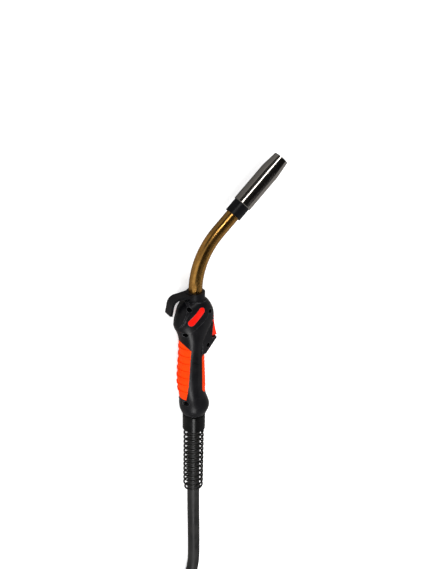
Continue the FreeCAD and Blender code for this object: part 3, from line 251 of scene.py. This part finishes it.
    def weave(self) -> bpy.types.NodeTree:
        """Crossing threads on the piece's own UV map."""
        graph, given, out = self.start("weave", {"Scale": 900.0}, "Height")
        parts = graph.add("ShaderNodeSeparateXYZ", {0: graph.place("UV")})
        turn = graph.math("MULTIPLY", given.outputs["Scale"], math.pi)
        warp = graph.math("SINE", graph.math("MULTIPLY", parts.outputs[0], turn))
        weft = graph.math("SINE", graph.math("MULTIPLY", parts.outputs[1], turn))
        return self.close(graph, graph.math("ABSOLUTE", graph.math("MULTIPLY", warp, weft)), out)


@dataclass(frozen=True)
class Finish:
    """One surface finish: colours, gloss, edge wear with painted edge shade and highlight, and fine relief.
    """

    name: str
    colour: Colour
    shade: Colour
    # Edge colour: worn tone on most finishes, painted crease shade on the orange grip, partly painted edge
    # highlight on the shell.
    worn_and_painted_shading: Colour
    roughness: float
    roughness_span: float = 0.08
    metallic: float = 0.0
    patch_scale: float = 60.0
    wear_and_painted_shading: float = 0.4
    wear_and_painted_shading_width: float = 0.6 * MM
    scratch: float = 0.0
    stretch: Point = SCRATCH_STRETCH
    relief: Relief = Relief.MOULDED
    relief_scale: float = 900.0
    relief_depth: float = 0.03 * MM
    axis: Point = HANDLE_AXIS
    dust: float = 0.05
    coat: float = 0.0
    specular: float = 0.5
    parting: float | None = None

    def material(self, effects: Effects) -> bpy.types.Material:
        """Makes the finish's material, or gives the one already made.

        Args:
            effects: The shared node groups.

        Returns:
            The material.
        """
        made = bpy.data.materials.get(self.name)
        if made:
            return made
        made = bpy.data.materials.new(self.name)
        made.use_nodes = True
        made.node_tree.nodes.clear()
        graph = Graph(made.node_tree)

        def effect(key: object, inputs: dict) -> bpy.types.NodeSocket:
            """One shared effect with this finish's own values."""
            node = graph.add("ShaderNodeGroup", node_tree=effects.groups[key])
            for label, value in inputs.items():
                node.inputs[label].default_value = value
            return node.outputs[0]

        patch = effect("patches", {"Scale": self.patch_scale})
        wear_and_painted_shading = effect("edge_wear_and_painted_shading", {"Width": self.wear_and_painted_shading_width, "Scale": WEAR_AND_PAINTED_SHADING_SCALE})
        dust = effect("dust", {"Amount": self.dust, "Scale": DUST_SCALE})
        colour = graph.mix(patch, self.colour, self.shade)
        # Colours edges and creases: real wear on most finishes, painted shade in the grip's rib creases,
        # partly painted highlight along the shell's edges.
        colour = graph.mix(graph.math("MULTIPLY", wear_and_painted_shading, self.wear_and_painted_shading), colour, self.worn_and_painted_shading)
        gloss = graph.spread(patch, 0.0, 1.0, self.roughness, self.roughness + self.roughness_span)
        if self.scratch:
            lines = effect("scratches", {"Scale": SCRATCH_SCALE, "Stretch": self.stretch})
            rubbed = graph.math("MULTIPLY", lines, self.scratch)
            colour = graph.mix(rubbed, colour, self.worn_and_painted_shading)
            gloss = graph.math("ADD", gloss, graph.math("MULTIPLY", lines, SCRATCH_ROUGHNESS))
        if self.parting is not None:
            height = graph.add("ShaderNodeSeparateXYZ", {0: graph.place()}).outputs["Z"]
            apart = graph.math("ABSOLUTE", graph.math("SUBTRACT", height, self.parting))
            line = graph.spread(apart, PARTING_CORE, PARTING_EDGE, 1.0, 0.0)
            colour = graph.mix(line, colour, PARTING_TONE)
        colour = graph.mix(dust, colour, DUST_TONE)
        gloss = graph.math("ADD", gloss, graph.math("MULTIPLY", dust, DUST_ROUGHNESS))

        details = {"Scale": self.relief_scale}
        if self.relief is Relief.TURNED:
            details["Axis"] = self.axis
        height = effect(self.relief, details)
        bump = graph.add("ShaderNodeBump", {"Strength": 1.0, "Distance": self.relief_depth, "Height": height})
        shader = graph.add("ShaderNodeBsdfPrincipled", {
            "Base Color": colour,
            "Metallic": self.metallic,
            "Roughness": gloss,
            "Normal": bump.outputs[0],
            "Specular IOR Level": self.specular,
            "Coat Weight": self.coat,
            "Coat Roughness": COAT_ROUGHNESS,
        })
        graph.add("ShaderNodeOutputMaterial", {"Surface": shader.outputs[0]})
        return made


SATIN_BLACK = Finish(
    "satin_black", tone(0.0025, 0.0025, 0.0035), tone(0.0045, 0.0045, 0.006), tone(0.05, 0.05, 0.05),
    roughness=0.3, roughness_span=0.1, relief_scale=850.0, relief_depth=0.035 * MM, dust=0.004,
    specular=0.2)
# The pale edge tone on a wide, strong edge mask is partly edge wear and partly a painted highlight along the
# shell's edges and seam lines.
SHELL_BLACK = Finish(
    "shell_black", tone(0.0025, 0.0025, 0.0035), tone(0.0045, 0.0045, 0.006), tone(0.16, 0.16, 0.17),
    roughness=0.27, roughness_span=0.1, wear_and_painted_shading=0.85, wear_and_painted_shading_width=0.9 * MM, relief_scale=800.0,
    relief_depth=0.04 * MM, dust=0.004, scratch=0.05, specular=0.2, parting=20.5 * MM)
GLOSS_BLACK = Finish(
    "gloss_black", tone(0.002, 0.002, 0.002), tone(0.004, 0.004, 0.004), tone(0.05, 0.05, 0.05),
    roughness=0.19, roughness_span=0.08, relief=Relief.CAST, relief_scale=160.0, relief_depth=0.02 * MM,
    dust=0.002, scratch=0.04, specular=0.15)
PLUG_BLACK = Finish(
    "plug_black", tone(0.007, 0.007, 0.008), tone(0.013, 0.013, 0.014), tone(0.1, 0.1, 0.1),
    roughness=0.38, roughness_span=0.12, relief_scale=700.0, relief_depth=0.04 * MM, dust=0.02,
    specular=0.3, parting=24.5 * MM)
DARK_CHROME = Finish(
    "dark_chrome", tone(0.55, 0.51, 0.47), tone(0.45, 0.41, 0.37), tone(0.7, 0.66, 0.62),
    roughness=0.1, roughness_span=0.05, metallic=1.0, patch_scale=45.0, wear_and_painted_shading=0.3, relief=Relief.TURNED,
    relief_scale=2200.0, relief_depth=0.0003 * MM, axis=NOZZLE_AXIS, dust=0.01)
BRASS_LACQUER = Finish(
    "brass_lacquer", tone(0.8, 0.42, 0.105), tone(0.5, 0.25, 0.06), tone(0.9, 0.62, 0.28),
    roughness=0.16, roughness_span=0.14, metallic=1.0, patch_scale=85.0, wear_and_painted_shading=0.2, relief=Relief.CAST,
    relief_scale=240.0, relief_depth=0.035 * MM, dust=0.01)
BARE_BRASS = Finish(
    "bare_brass_turned", tone(0.78, 0.57, 0.25), tone(0.6, 0.42, 0.17), tone(0.9, 0.75, 0.45),
    roughness=0.22, roughness_span=0.1, metallic=1.0, relief=Relief.TURNED, relief_scale=1500.0,
    relief_depth=0.004 * MM, dust=0.01, scratch=0.15)
COPPER = Finish(
    "copper_drawn", tone(0.78, 0.38, 0.24), tone(0.55, 0.25, 0.15), tone(0.9, 0.55, 0.4),
    roughness=0.25, roughness_span=0.12, metallic=1.0, relief=Relief.TURNED, relief_scale=1500.0,
    relief_depth=0.003 * MM, axis=NOZZLE_AXIS, dust=0.01, scratch=0.2)
SPRING_STEEL = Finish(
    "spring_steel_drawn", tone(0.42, 0.42, 0.43), tone(0.3, 0.3, 0.31), tone(0.6, 0.6, 0.6),
    roughness=0.28, metallic=1.0, relief=Relief.CAST, relief_scale=500.0, relief_depth=0.01 * MM, dust=0.01)
BLACK_STEEL = Finish(
    "black_steel_wire", tone(0.003, 0.003, 0.003), tone(0.008, 0.007, 0.006), tone(0.12, 0.1, 0.09),
    roughness=0.15, roughness_span=0.1, patch_scale=160.0, wear_and_painted_shading=0.2, wear_and_painted_shading_width=0.3 * MM, relief=Relief.CAST,
    relief_scale=420.0, relief_depth=0.02 * MM, dust=0.004, specular=0.5)
ZINC = Finish(
    "zinc_screws", tone(0.16, 0.16, 0.17), tone(0.1, 0.1, 0.1), tone(0.4, 0.4, 0.4),
    roughness=0.32, metallic=1.0, relief=Relief.CAST, relief_scale=600.0, relief_depth=0.01 * MM, dust=0.03)
WHITE_CERAMIC = Finish(
    "white_insulator", tone(0.72, 0.7, 0.65), tone(0.62, 0.59, 0.53), tone(0.8, 0.79, 0.76),
    roughness=0.5, relief=Relief.CAST, relief_scale=700.0, relief_depth=0.02 * MM)
# The dark edge tone is painted shade: it darkens the ribs' edges and creases where their shadows fall.
ORANGE_GRIP = Finish(
    "orange_grip_rubber", tone(0.95, 0.055, 0.0), tone(0.87, 0.045, 0.0), tone(0.42, 0.014, 0.0),
    roughness=0.6, roughness_span=0.12, wear_and_painted_shading=0.8, relief_scale=1100.0, relief_depth=0.03 * MM,
    dust=0.005, specular=0.06)
TRIGGER_RED = Finish(
    "trigger_red", tone(0.93, 0.025, 0.002), tone(0.82, 0.018, 0.002), tone(0.95, 0.12, 0.04),
    roughness=0.3, roughness_span=0.1, wear_and_painted_shading=0.25, relief_scale=1100.0, relief_depth=0.02 * MM,
    dust=0.005, specular=0.06)
BADGE_RED = Finish(
    "badge_red", tone(0.93, 0.008, 0.002), tone(0.82, 0.006, 0.002), tone(0.95, 0.12, 0.06),
    roughness=0.2, roughness_span=0.08, wear_and_painted_shading=0.3, relief=Relief.CAST, relief_scale=400.0,
    relief_depth=0.01 * MM, dust=0.005, specular=0.1)
LEAD_RED = Finish(
    "lead_red", tone(0.5, 0.02, 0.015), tone(0.4, 0.015, 0.01), tone(0.6, 0.1, 0.08),
    roughness=0.4, relief=Relief.CAST, relief_scale=600.0, relief_depth=0.01 * MM)
CABLE_RUBBER = Finish(
    "cable_rubber_black", tone(0.005, 0.005, 0.005), tone(0.01, 0.01, 0.0095), tone(0.05, 0.05, 0.046),
    roughness=0.38, roughness_span=0.16, patch_scale=70.0, wear_and_painted_shading=0.2, relief=Relief.CAST, relief_scale=520.0,
    relief_depth=0.05 * MM, dust=0.03, scratch=0.08, stretch=(1.0, 1.0, 1.0), specular=0.3)
STRAP_WEB = Finish(
    "strap_web", tone(0.012, 0.012, 0.014), tone(0.022, 0.022, 0.023), tone(0.08, 0.08, 0.08),
    roughness=0.75, roughness_span=0.1, relief=Relief.WOVEN, relief_scale=900.0, relief_depth=0.25 * MM,
    dust=0.06, specular=0.2)


@dataclass
class SubAssembly:
    """Pieces of the torch that belong together, each with its finish."""

    effects: Effects

    def finishes(self) -> dict[str, Finish]:
        """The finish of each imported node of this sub-assembly."""
        return {}

    def dress(self) -> None:
        """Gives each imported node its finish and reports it."""
        for name, finish in self.finishes().items():
            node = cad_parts[name]
            for place in node.material_slots:
                place.material = finish.material(self.effects)
            LOG.info("%s: %s", name, finish.name)

    def build(self) -> None:
        """Builds the sub-assembly's own pieces, if any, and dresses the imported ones."""
        self.dress()


class FrontEnd(SubAssembly):
    """Nozzle, tip, diffuser, collar and neck."""

    def finishes(self) -> dict[str, Finish]:
        """The finish of each node of the front end."""
        return {
            "gas_nozzle": DARK_CHROME,
            "contact_tip": COPPER,
            "tip_holder": BARE_BRASS,
            "gas_diffuser": WHITE_CERAMIC,
            "nozzle_spring": SPRING_STEEL,
            "insulator_collar": SATIN_BLACK,
            "neck_tube": BRASS_LACQUER,
            "neck_insulation": WHITE_CERAMIC,
            "neck_conductor": COPPER,
            "neck_liner": SPRING_STEEL,
            "neck_nut": BARE_BRASS,
            "cable_terminal": BARE_BRASS,
            "inner_cable": CABLE_RUBBER,
        }


class Handle(SubAssembly):
    """Shells, hook, grips, badges, screws and trigger with its switch."""

    def finishes(self) -> dict[str, Finish]:
        """The finish of each node of the handle."""
        return {
            "hook_collar": SATIN_BLACK,
            "handle_shell_left": SHELL_BLACK,
            "handle_shell_right": SHELL_BLACK,
            "back_grip_pad": ORANGE_GRIP,
            "front_grip_pad": ORANGE_GRIP,
            "left_badge": BADGE_RED,
            "right_badge": BADGE_RED,
            "trigger": TRIGGER_RED,
            "trigger_pin": ZINC,
            "microswitch_body": SATIN_BLACK,
            "switch_plunger": TRIGGER_RED,
            "switch_leads": LEAD_RED,
            "shell_screws": ZINC,
        }


class BendGuard(SubAssembly):
    """Ball joint, sleeve and the spring that guards the cable's bend."""

    def finishes(self) -> dict[str, Finish]:
        """The finish of each node of the bend guard."""
        return {
            "cable_ball": SATIN_BLACK,
            "guard_sleeve": GLOSS_BLACK,
            "bend_guard_spring": BLACK_STEEL,
        }


class Plug(SubAssembly):
    """The central plug on the cable's far end."""

    def finishes(self) -> dict[str, Finish]:
        """The finish of each node of the plug."""
        return {
            "connector_boot": CABLE_RUBBER,
            "connector_shell_top": PLUG_BLACK,
            "connector_shell_bottom": PLUG_BLACK,
            "coupling_nut": PLUG_BLACK,
            "plug_body": BARE_BRASS,
            "plug_face": WHITE_CERAMIC,
            "control_pin_a": BARE_BRASS,
            "control_pin_b": BARE_BRASS,
            "gas_o_ring": CABLE_RUBBER,
            "liner_nut": BARE_BRASS,
            "connector_screws": ZINC,
        }


@dataclass
class Cable(SubAssembly):
    """The power cable with its coil, from the ball joint to the plug."""

    radius: float = 8.7 * MM
    length: float = 3.03
    coil_x: float = 32.66 * MM
    coil_y: float = -559.928 * MM
    low: float = 10.1 * MM
    layer: float = 18.0 * MM
    outer_turn: float = 110.0 * MM
    turn_step: float = 18.2 * MM
    turns: int = 4
    points_per_turn: int = 24
    round_steps: int = 7
    length_steps: int = 8
    leaving: tuple[Point, ...] = (
        (-0.04334, -0.087928, 0.0205),
        (-0.04334, -0.245928, 0.0205),
        (-0.03934, -0.327928, 0.0170),
        (-0.03634, -0.401928, 0.0120),
        (-0.07734, -0.495928, 0.0101),
        (-0.07734, -0.542128, 0.0101),
    )
    arriving: tuple[Point, ...] = (
        (-0.07734, -0.577728, 0.0281),
        (-0.07734, -0.659928, 0.0281),
        (-0.03134, -0.705928, 0.0245),
        (0.05666, -0.705928, 0.0245),
    )

    def turn_radius(self, turn: float) -> float:
        """The coil's radius after that many turns."""
        half = self.turns / 2
        return self.outer_turn - self.turn_step * (half - abs(turn - half))

    def coil_point(self, turn: float) -> Point:
        """A point of the coil's line after that many turns.

        The line lies on the ground, climbs over half a turn in the middle, and goes on in the upper layer.

        Args:
            turn: The turns so far, from where the cable comes in.

        Returns:
            The point.
        """
        climb = min(max((turn - self.turns / 2) * 2 + 0.5, 0.0), 1.0)
        level = self.low + self.layer * climb * climb * (3 - 2 * climb)
        angle = math.pi + math.tau * turn
        radius = self.turn_radius(turn)
        return (self.coil_x + radius * math.cos(angle), self.coil_y + radius * math.sin(angle), level)

    def build(self) -> None:
        steps = self.turns * self.points_per_turn
        coil = [self.coil_point(k / self.points_per_turn) for k in range(steps + 1)]
        points = [*self.leaving, *coil, *self.arriving]
        curve = bpy.data.curves.new("power_cable_line", "CURVE")
        curve.dimensions = "3D"
        curve.bevel_depth = self.radius
        curve.bevel_resolution = self.round_steps
        curve.resolution_u = self.length_steps
        curve.use_fill_caps = True
        spline = curve.splines.new("NURBS")
        spline.points.add(len(points) - 1)
        for spot, point in zip(spline.points, points):
            spot.co = (*point, 1.0)
        spline.order_u = 3
        spline.use_endpoint_u = True
        curve.materials.append(CABLE_RUBBER.material(self.effects))
        cable = bpy.data.objects.new("power_cable_rubber", curve)
        bpy.context.scene.collection.objects.link(cable)
        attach(cable, "cable")
        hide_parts("power_cable", "cable_coil", "cable_tail")
        straps = CoilStraps(self.effects, self)
        straps.build()
        Plug(self.effects).finishes()
        LOG.info("cable: %d points", len(points))


@dataclass
class CoilStraps(SubAssembly):
    """The two webbing straps that hold the coil's turns together."""

    cable: Cable
    angles: tuple[float, ...] = (20.0, 250.0)
    letters: str = "ab"
    width: float = 16.0 * MM
    thick: float = 1.3 * MM
    side_gap: float = 0.85 * MM
    gap: float = 0.1 * MM
    corner_steps: int = 10
    round_profile: float = 0.5
    side_on: float = 0.9
    tongue: float = 26.0 * MM
    tongue_width: float = 0.96
    tongue_thick: float = 0.8
    tongue_shift: float = 0.2
    tongue_corner: float = 0.3
    tongue_steps: int = 6

    def names(self) -> list[str]:
        """The straps' names."""
        return [f"coil_strap_{letter}" for letter in self.letters]

    def span(self, degrees: float) -> tuple[float, float]:
        """The nearest and farthest reach of the bundle's turns at that angle.

        Args:
            degrees: The strap's place round the coil.

        Returns:
            The inner and the outer side of the strap's opening.
        """
        share = (degrees - 180) % 360 / 360
        radii = [self.cable.turn_radius(turn + share) for turn in range(self.cable.turns)]
        reach = self.cable.radius + self.side_gap
        return min(radii) - reach, max(radii) + reach

    def strap(self, name: str, degrees: float) -> bpy.types.Object:
        """Builds one strap with its loose tongue.

        Args:
            name: The piece's name.
            degrees: Its place round the coil.

        Returns:
            The strap's object.
        """
        inner, outer = self.span(degrees)
        low = self.cable.low - self.cable.radius - self.gap - self.thick
        high = self.cable.low + self.cable.layer + self.cable.radius + self.gap + self.thick
        long_side = outer - inner + 2 * self.thick
        corner = self.cable.radius + self.gap + self.thick

        mesh = bmesh.new()
        bmesh.ops.create_cube(mesh, size=1.0)
        bmesh.ops.scale(mesh, vec=(long_side, self.width, high - low), verts=mesh.verts)
        sides = [face for face in mesh.faces if abs(face.normal.y) > self.side_on]
        bmesh.ops.delete(mesh, geom=sides, context="FACES_ONLY")
        turns = [edge for edge in mesh.edges if len(edge.link_faces) == 2]
        bmesh.ops.bevel(mesh, geom=turns, offset=corner, offset_type="OFFSET",
                        segments=self.corner_steps, profile=self.round_profile,
                        affect="EDGES", material=-1)
        bmesh.ops.recalc_face_normals(mesh, faces=mesh.faces)
        bmesh.ops.solidify(mesh, geom=mesh.faces[:], thickness=self.thick)
        self.add_tongue(mesh, high, low)
        bmesh.ops.recalc_face_normals(mesh, faces=mesh.faces)

        uv = mesh.loops.layers.uv.new("strap_map")
        for face in mesh.faces:
            for loop in face.loops:
                spot = loop.vert.co
                along = spot.x if abs(face.normal.z) > 0.5 else spot.z
                loop[uv].uv = (along, spot.y)
        middle = (inner + outer) / 2
        place = Matrix.Translation((self.cable.coil_x, self.cable.coil_y, (low + high) / 2))
        place = place @ Matrix.Rotation(math.radians(degrees), 4, "Z") @ Matrix.Translation((middle, 0, 0))
        bmesh.ops.transform(mesh, matrix=place, verts=mesh.verts)
        data = bpy.data.meshes.new(name)
        mesh.to_mesh(data)
        mesh.free()
        data.materials.append(STRAP_WEB.material(self.effects))
        piece = bpy.data.objects.new(name, data)
        bpy.context.scene.collection.objects.link(piece)
        return piece

    def add_tongue(self, mesh: bmesh.types.BMesh, high: float, low: float) -> None:
        """Adds the strap's loose end, which lies on its upper run.

        Args:
            mesh: The strap's mesh, centred on the bundle.
            high: The strap's upper side.
            low: The strap's lower side.
        """
        made = bmesh.ops.create_cube(mesh, size=1.0)["verts"]
        size = (self.tongue, self.width * self.tongue_width, self.thick * self.tongue_thick)
        bmesh.ops.scale(mesh, vec=size, verts=made)
        top = (high - low) / 2 + self.thick * self.tongue_thick / 2
        bmesh.ops.translate(mesh, vec=(self.tongue * self.tongue_shift, 0, top), verts=made)
        ends = [edge for edge in mesh.edges
                if edge.verts[0] in made and edge.verts[1] in made
                and abs(edge.verts[0].co.z - edge.verts[1].co.z) > self.thick * 0.5]
        bmesh.ops.bevel(mesh, geom=ends, offset=self.width * self.tongue_corner, offset_type="OFFSET",
                        segments=self.tongue_steps, profile=self.round_profile,
                        affect="EDGES", material=-1)

    def build(self) -> None:
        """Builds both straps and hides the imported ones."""
        for name, degrees in zip(self.names(), self.angles):
            piece = self.strap(name, degrees)
            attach(piece, "cable")
            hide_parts("cable_straps")
            LOG.info("%s: %s", name, STRAP_WEB.name)


@dataclass(frozen=True)
class Panel:
    """A flat lamp or card that faces the torch; its power is in watts, its shade runs from black to white."""

    name: str
    towards: Point
    distance: float
    up: Point
    width: float
    height: float
    power: float = 0.0
    shade: float = 0.0


LAMPS = (
    Panel("nozzle_lamp", (-0.23, 0.75, 0.63), 1.4, NOZZLE_AXIS, 0.15, 0.9, power=4.0),
    Panel("handle_lamp", (-0.34, -0.7, 0.65), 1.15, HANDLE_AXIS, 0.28, 0.52, power=5.0),
    Panel("left_panel", (-0.83, -0.2, 0.4), 1.3, HANDLE_AXIS, 1.2, 1.2, power=1.4),
    Panel("fill_lamp", (0.5, -0.5, 0.9), 1.5, NOZZLE_AXIS, 0.6, 0.6, power=4.0),
)
CARDS = (
    Panel("upper_card", (0.071, -0.074, 0.995), 1.0, NOZZLE_AXIS, 2.1, 2.4, shade=0.01),
    Panel("left_card", (-0.58, 0.79, 0.24), 1.0, NOZZLE_AXIS, 0.6, 0.9, shade=0.03),
)


@dataclass
class Studio:
    """Floor, soft lamps, dark cards that metal mirrors, and the camera."""

    aim: Point = (-0.04334, 0.072076, 0.0205)
    turned: float = math.radians(27.0)
    tilt: float = math.radians(25.0)
    roll: float = math.radians(0.7)
    distance: float = 1.2
    lens: float = 59.07
    shift: tuple[float, float] = (0.0388, 0.0097)
    ambient: float = 0.82
    mirrored: float = 0.32
    matt: float = 0.9
    floor_glow: float = 0.4
    floor_specular: float = 0.1
    floor_reach: float = 4.0
    floor_level: float = -0.4 * MM
    low_card_place: Point = (-0.02, 0.278, 0.5 * MM)
    low_card_turn: float = math.radians(45.0)
    low_card_size: tuple[float, float] = (0.2, 0.22)
    low_card_shade: float = 0.17
    floor_tone: Colour = (0.96, 0.96, 0.96, 1.0)
    floor_mirrored: Colour = (0.27, 0.26, 0.25, 1.0)

    def camera(self) -> None:
        """Places the camera at the photograph's angle."""
        right = Vector((math.cos(self.turned), 0, math.sin(self.turned)))
        back = Vector((-math.sin(self.turned) * math.cos(self.tilt), math.sin(self.tilt),
                       math.cos(self.turned) * math.cos(self.tilt)))
        up = back.cross(right)
        across = right * math.cos(self.roll) + up * math.sin(self.roll)
        rise = up * math.cos(self.roll) - right * math.sin(self.roll)
        turn = Matrix((across, rise, back)).transposed().to_4x4()
        data = bpy.data.cameras.new("camera")
        data.lens = self.lens
        data.shift_x, data.shift_y = self.shift
        camera = bpy.data.objects.new("camera", data)
        camera.matrix_world = Matrix.Translation(Vector(self.aim) + back * self.distance) @ turn
        bpy.context.scene.collection.objects.link(camera)
        bpy.context.scene.camera = camera

    def world(self) -> None:
        """A white surround for the camera, a grey one that metal mirrors, and a pale one for the rest."""
        world = bpy.data.worlds.new("studio")
        world.use_nodes = True
        world.node_tree.nodes.clear()
        graph = Graph(world.node_tree)
        path = graph.add("ShaderNodeLightPath").outputs
        strength = graph.spread(path["Is Glossy Ray"], 0.0, 1.0, self.ambient, self.mirrored)
        strength = graph.spread(path["Is Camera Ray"], 0.0, 1.0, strength, 1.0)
        light = graph.add("ShaderNodeBackground", {"Color": tone(1.0, 1.0, 1.0), "Strength": strength})
        graph.add("ShaderNodeOutputWorld", {"Surface": light.outputs[0]})
        bpy.context.scene.world = world

    def facing(self, panel: Panel) -> Matrix:
        """Where a panel stands when it faces the torch.

        Args:
            panel: The lamp or card.

        Returns:
            Its matrix, with its width along X and its height along Y.
        """
        way = Vector(panel.towards).normalized()
        side = Vector(panel.up).cross(way).normalized()
        turn = Matrix((side, way.cross(side), way)).transposed().to_4x4()
        return Matrix.Translation(Vector(self.aim) + way * panel.distance) @ turn

    def lamp(self, panel: Panel) -> None:
        """Adds one soft lamp.

        Args:
            panel: The lamp's place, size and power.
        """
        data = bpy.data.lights.new(panel.name, "AREA")
        data.shape = "RECTANGLE"
        data.size = panel.width
        data.size_y = panel.height
        data.energy = panel.power
        lamp = bpy.data.objects.new(panel.name, data)
        lamp.matrix_world = self.facing(panel)
        bpy.context.scene.collection.objects.link(lamp)

    def card(self, name: str, place: Matrix, size: tuple[float, float], shade: float) -> None:
        """Adds one dark card that only mirrored light meets.

        Args:
            name: The card's name.
            place: Where it stands.
            size: Its width and its height.
            shade: How pale it is, from black at 0 to white at 1.
        """
        mesh = bmesh.new()
        bmesh.ops.create_grid(mesh, x_segments=1, y_segments=1, size=0.5)
        bmesh.ops.scale(mesh, vec=(*size, 1.0), verts=mesh.verts)
        bmesh.ops.transform(mesh, matrix=place, verts=mesh.verts)
        data = bpy.data.meshes.new(name)
        mesh.to_mesh(data)
        mesh.free()
        cloth = bpy.data.materials.new(name)
        cloth.use_nodes = True
        shader = cloth.node_tree.nodes["Principled BSDF"].inputs
        shader["Base Color"].default_value = tone(shade, shade, shade)
        shader["Roughness"].default_value = self.matt
        shader["Specular IOR Level"].default_value = 0.0
        data.materials.append(cloth)
        card = bpy.data.objects.new(name, data)
        card.visible_camera = False
        card.visible_diffuse = False
        card.visible_shadow = False
        bpy.context.scene.collection.objects.link(card)

    def floor(self) -> None:
        """Lays the pale floor, which keeps the torch's shadow."""
        mesh = bmesh.new()
        bmesh.ops.create_grid(mesh, x_segments=1, y_segments=1, size=self.floor_reach)
        bmesh.ops.translate(mesh, vec=(0, 0, self.floor_level), verts=mesh.verts)
        data = bpy.data.meshes.new("floor")
        mesh.to_mesh(data)
        mesh.free()
        paper = bpy.data.materials.new("floor_paper")
        paper.use_nodes = True
        paper.node_tree.nodes.clear()
        graph = Graph(paper.node_tree)
        path = graph.add("ShaderNodeLightPath").outputs
        shader = graph.add("ShaderNodeBsdfPrincipled", {
            "Base Color": graph.mix(path["Is Glossy Ray"], self.floor_tone, self.floor_mirrored),
            "Roughness": self.matt,
            "Specular IOR Level": self.floor_specular,
            "Emission Color": tone(1.0, 1.0, 1.0),
            "Emission Strength": graph.math("MULTIPLY", path["Is Camera Ray"], self.floor_glow),
        })
        graph.add("ShaderNodeOutputMaterial", {"Surface": shader.outputs[0]})
        data.materials.append(paper)
        floor = bpy.data.objects.new("floor", data)
        bpy.context.scene.collection.objects.link(floor)

    def build(self) -> None:
        """Builds the whole studio."""
        bpy.context.scene.view_settings.view_transform = "Standard"
        self.camera()
        self.world()
        self.floor()
        for panel in LAMPS:
            self.lamp(panel)
        for panel in CARDS:
            self.card(panel.name, self.facing(panel), (panel.width, panel.height), panel.shade)
        beside_nozzle = Matrix.Translation(self.low_card_place) @ Matrix.Rotation(self.low_card_turn, 4, "Z")
        self.card("low_card", beside_nozzle, self.low_card_size, self.low_card_shade)
        LOG.info("studio ready")


def main() -> None:
    """Builds every sub-assembly, then the studio."""
    logging.basicConfig(level=logging.INFO, format="%(message)s")
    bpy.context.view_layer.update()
    effects = Effects()
    for part in (FrontEnd(effects), Handle(effects), BendGuard(effects), Plug(effects), Cable(effects)):
        part.build()
        LOG.info("%s built", type(part).__name__)
    Studio().build()


if __name__ == "__main__":
    main()
